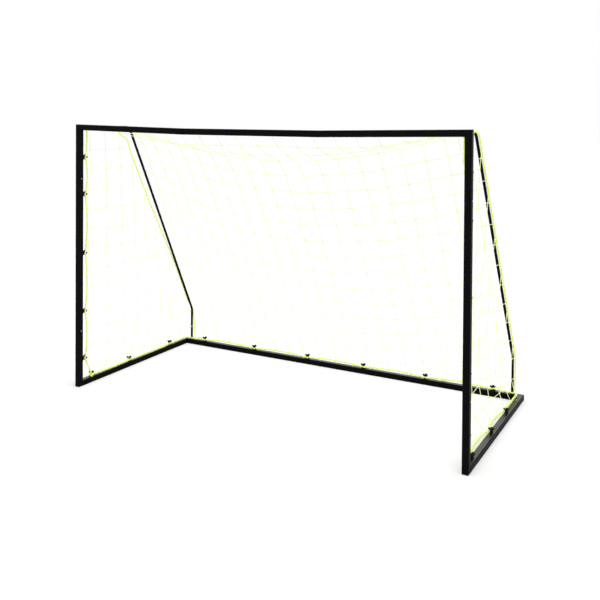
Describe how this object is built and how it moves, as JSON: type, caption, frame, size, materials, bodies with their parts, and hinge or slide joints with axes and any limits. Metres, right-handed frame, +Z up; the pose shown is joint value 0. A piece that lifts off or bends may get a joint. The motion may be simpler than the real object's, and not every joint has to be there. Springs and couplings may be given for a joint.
{
  "type": "football goal",
  "caption": "Free-standing garden football goal: a sectional frame of square steel tube locked by spring buttons, two bent stays and a knotted net laced to a rope and hooks",
  "frame": {"origin": "on the ground, under the middle of the goal's outer box", "axes": "+Z is up, the open mouth faces -Y, and +X is to the right of someone who looks into the mouth"},
  "size_m": [2.4515, 1.12, 1.6],
  "materials": {
    "black_powder_coat": "satin black powder coat on square and round steel tube",
    "black_plastic": "moulded black plastic, fine matt texture",
    "zinc_plated_steel": "zinc-plated spring steel",
    "yellow_net_cord": "thin knotted fluorescent yellow cord",
    "yellow_border_rope": "braided fluorescent yellow rope"
  },
  "bodies": {
    "frame": {"top_corner_left": "black_powder_coat", "post_middle_left": "black_powder_coat", "foot_corner_left": "black_powder_coat", "rear_corner_left": "black_powder_coat", "stay_upper_left": "black_powder_coat", "stay_lower_left": "black_powder_coat", "top_corner_right": "black_powder_coat", "post_middle_right": "black_powder_coat", "foot_corner_right": "black_powder_coat", "rear_corner_right": "black_powder_coat", "stay_upper_right": "black_powder_coat", "stay_lower_right": "black_powder_coat", "crossbar_centre": "black_powder_coat", "rear_bar_centre": "black_powder_coat", "foot_cap_left": "black_plastic", "post_hook_left_1": "black_plastic", "post_hook_left_2": "black_plastic", "post_hook_left_3": "black_plastic", "post_hook_left_4": "black_plastic", "post_hook_left_5": "black_plastic", "side_hook_left_1": "black_plastic", "side_hook_left_2": "black_plastic", "side_hook_left_3": "black_plastic", "rear_hook_left_1": "black_plastic", "rear_hook_left_2": "black_plastic", "rear_hook_left_3": "black_plastic", "side_net_left": "yellow_net_cord", "seam_rope_left": "yellow_border_rope", "foot_cap_right": "black_plastic", "post_hook_right_1": "black_plastic", "post_hook_right_2": "black_plastic", "post_hook_right_3": "black_plastic", "post_hook_right_4": "black_plastic", "post_hook_right_5": "black_plastic", "side_hook_right_1": "black_plastic", "side_hook_right_2": "black_plastic", "side_hook_right_3": "black_plastic", "rear_hook_right_1": "black_plastic", "rear_hook_right_2": "black_plastic", "rear_hook_right_3": "black_plastic", "side_net_right": "yellow_net_cord", "seam_rope_right": "yellow_border_rope", "top_net": "yellow_net_cord", "back_net_upper": "yellow_net_cord", "back_net_lower": "yellow_net_cord", "mouth_rope": "yellow_border_rope", "ground_rope": "yellow_border_rope"},
    "post_lower_button_left": {"post_lower_button_left": "zinc_plated_steel"},
    "post_upper_button_left": {"post_upper_button_left": "zinc_plated_steel"},
    "crossbar_button_left": {"crossbar_button_left": "zinc_plated_steel"},
    "rear_bar_button_left": {"rear_bar_button_left": "zinc_plated_steel"},
    "side_bar_button_left": {"side_bar_button_left": "zinc_plated_steel"},
    "stay_button_left": {"stay_button_left": "zinc_plated_steel"},
    "post_lower_button_right": {"post_lower_button_right": "zinc_plated_steel"},
    "post_upper_button_right": {"post_upper_button_right": "zinc_plated_steel"},
    "crossbar_button_right": {"crossbar_button_right": "zinc_plated_steel"},
    "rear_bar_button_right": {"rear_bar_button_right": "zinc_plated_steel"},
    "side_bar_button_right": {"side_bar_button_right": "zinc_plated_steel"},
    "stay_button_right": {"stay_button_right": "zinc_plated_steel"}
  },
  "joints": [
    {"name": "post_lower_button_left_press", "type": "slide", "parent": "frame", "child": "post_lower_button_left", "axis": [-1, 0, 0], "range_m": [0, 0.0036], "stiffness_N_per_m": 2000, "springref_m": -0.001},
    {"name": "post_upper_button_left_press", "type": "slide", "parent": "frame", "child": "post_upper_button_left", "axis": [-1, 0, 0], "range_m": [0, 0.0036], "stiffness_N_per_m": 2000, "springref_m": -0.001},
    {"name": "crossbar_button_left_press", "type": "slide", "parent": "frame", "child": "crossbar_button_left", "axis": [0, -1, 0], "range_m": [0, 0.0036], "stiffness_N_per_m": 2000, "springref_m": -0.001},
    {"name": "rear_bar_button_left_press", "type": "slide", "parent": "frame", "child": "rear_bar_button_left", "axis": [0, 0, -1], "range_m": [0, 0.0036], "stiffness_N_per_m": 2000, "springref_m": -0.001},
    {"name": "side_bar_button_left_press", "type": "slide", "parent": "frame", "child": "side_bar_button_left", "axis": [0, 0, -1], "range_m": [0, 0.0036], "stiffness_N_per_m": 2000, "springref_m": -0.001},
    {"name": "stay_button_left_press", "type": "slide", "parent": "frame", "child": "stay_button_left", "axis": [-0.9997, -0.0234, 0], "range_m": [0, 0.0029], "stiffness_N_per_m": 1200, "springref_m": -0.001},
    {"name": "post_lower_button_right_press", "type": "slide", "parent": "frame", "child": "post_lower_button_right", "axis": [-1, 0, 0], "range_m": [0, 0.0036], "stiffness_N_per_m": 2000, "springref_m": -0.001},
    {"name": "post_upper_button_right_press", "type": "slide", "parent": "frame", "child": "post_upper_button_right", "axis": [-1, 0, 0], "range_m": [0, 0.0036], "stiffness_N_per_m": 2000, "springref_m": -0.001},
    {"name": "crossbar_button_right_press", "type": "slide", "parent": "frame", "child": "crossbar_button_right", "axis": [0, -1, 0], "range_m": [0, 0.0036], "stiffness_N_per_m": 2000, "springref_m": -0.001},
    {"name": "rear_bar_button_right_press", "type": "slide", "parent": "frame", "child": "rear_bar_button_right", "axis": [0, 0, -1], "range_m": [0, 0.0036], "stiffness_N_per_m": 2000, "springref_m": -0.001},
    {"name": "side_bar_button_right_press", "type": "slide", "parent": "frame", "child": "side_bar_button_right", "axis": [0, 0, -1], "range_m": [0, 0.0036], "stiffness_N_per_m": 2000, "springref_m": -0.001},
    {"name": "stay_button_right_press", "type": "slide", "parent": "frame", "child": "stay_button_right", "axis": [0.9997, -0.0234, 0], "range_m": [0, 0.0029], "stiffness_N_per_m": 1200, "springref_m": -0.001}
  ]
}
